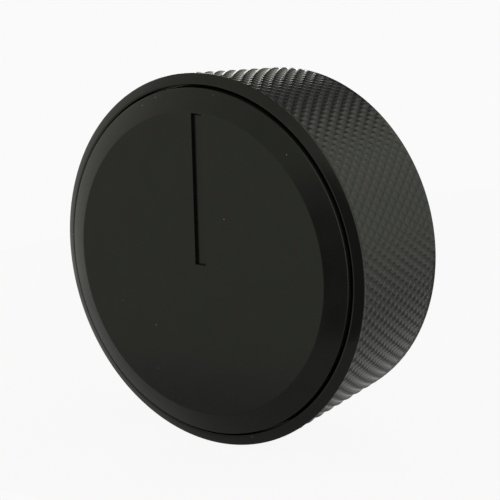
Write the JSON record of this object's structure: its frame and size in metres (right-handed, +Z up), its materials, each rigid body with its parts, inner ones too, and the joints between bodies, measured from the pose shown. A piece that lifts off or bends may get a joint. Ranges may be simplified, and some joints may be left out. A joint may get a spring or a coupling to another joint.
{
  "type": "stove knob",
  "caption": "Black control knob for a cooking range: tapered grip ring with diamond knurling, bevelled front disc with an engraved pointer, hollow back with a split boss for a D-shaped shaft.",
  "frame": {"origin": "middle of the shaft bore's mouth, on the knob's axis", "axes": "+Y along the shaft bore and out of its mouth, towards the appliance; -Y out of the face; +Z up, the way the pointer points; +X to the right seen from the front"},
  "size_m": [0.05, 0.0212, 0.05],
  "materials": {
    "black_anodised": "black anodised, satin",
    "black_painted": "fine satin black coat",
    "black_nylon": "moulded, matt",
    "zinc_steel": "bright zinc plate",
    "spring_steel": "oiled spring steel"
  },
  "bodies": {
    "root": {"grip_ring": "black_anodised", "front_cap": "black_painted", "hub": "black_nylon", "boss_collar": "zinc_steel", "shaft_spring": "spring_steel", "hub_screws": "zinc_steel", "cap_nuts": "spring_steel"}
  },
  "joints": []
}
